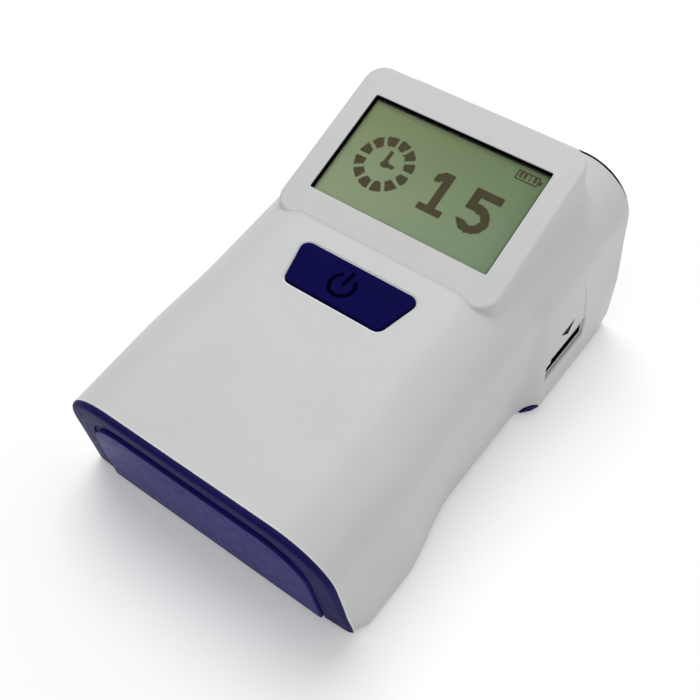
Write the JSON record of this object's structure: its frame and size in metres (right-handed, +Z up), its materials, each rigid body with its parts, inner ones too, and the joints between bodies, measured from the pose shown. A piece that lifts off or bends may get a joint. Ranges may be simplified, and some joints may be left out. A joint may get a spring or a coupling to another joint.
{
  "type": "rapid test reader",
  "caption": "Handheld reader for rapid test cassettes: light shell with a raised tilted display, blue power button, blue base and front cover, cassette slot in its right side.",
  "frame": {"origin": "on the table under the middle of the reader's outline", "axes": "+X to the reader's right, where the cassette slot is, +Y to its back, +Z up"},
  "size_m": [0.0922, 0.138, 0.07],
  "materials": {
    "shell_white": "fine satin texture, light cool grey",
    "base_blue": "fine satin texture, dark blue",
    "button_blue": "satin, deep blue",
    "clear_lens": "clear polished sheet",
    "lcd_green": "green-grey liquid crystal glass, opaque",
    "light_guide": "milky light guide",
    "black_plastic": "matt black moulding",
    "board_green": "green glass-fibre circuit board",
    "steel": "bright plated steel",
    "rubber_black": "matt rubber",
    "battery_wrap": "cells in a blue shrink wrap",
    "led_amber": "clear amber resin",
    "flex_orange": "polyimide ribbon"
  },
  "bodies": {
    "reader": {"top_housing": "shell_white", "base_housing": "base_blue", "rear_panel": "base_blue", "power_jack": "black_plastic", "display_window": "clear_lens", "lcd_panel": "lcd_green", "lcd_backlight": "light_guide", "display_frame": "black_plastic", "display_flex": "flex_orange", "key_board": "board_green", "button_switch": "black_plastic", "cassette_chute": "black_plastic", "optics_hood": "black_plastic", "optics_board": "board_green", "image_sensor": "black_plastic", "lens_barrel": "black_plastic", "reader_led_left": "led_amber", "reader_led_right": "led_amber", "cassette_switch": "black_plastic", "main_board": "board_green", "processor_chip": "black_plastic", "buzzer": "black_plastic", "battery_pack": "battery_wrap", "data_socket": "steel", "case_screw_front_left": "steel", "case_screw_front_right": "steel", "case_screw_rear_left": "steel", "case_screw_rear_right": "steel", "foot_front_left": "rubber_black", "foot_front_right": "rubber_black", "foot_rear_left": "rubber_black", "foot_rear_right": "rubber_black"},
    "button": {"power_button": "button_blue"},
    "plunger": {"switch_plunger": "steel"},
    "bay_cover": {"front_bay_cover": "base_blue"},
    "lever": {"switch_lever": "steel"}
  },
  "joints": [
    {"name": "button_press", "type": "slide", "parent": "reader", "child": "button", "axis": [0, 0.1322, -0.9912], "range_m": [0, 0.0005], "stiffness_N_per_m": 300, "springref_m": -0.0004},
    {"name": "plunger_press", "type": "slide", "parent": "reader", "child": "plunger", "axis": [0, 0.1322, -0.9912], "range_m": [0, 0.0005]},
    {"name": "cover_pull", "type": "slide", "parent": "reader", "child": "bay_cover", "axis": [0, -1, 0], "range_m": [0, 0.03]},
    {"name": "lever_lift", "type": "hinge", "parent": "reader", "child": "lever", "pos_m": [-0.02137, 0.0386, 0.0208], "axis": [0, -1, 0], "range_deg": [0, 9], "stiffness_Nm_per_rad": 0.0005, "springref_deg": -8.59}
  ],
  "couplings": [
    {"joint": "plunger_press", "follows": "button_press", "ratio": 1}
  ]
}
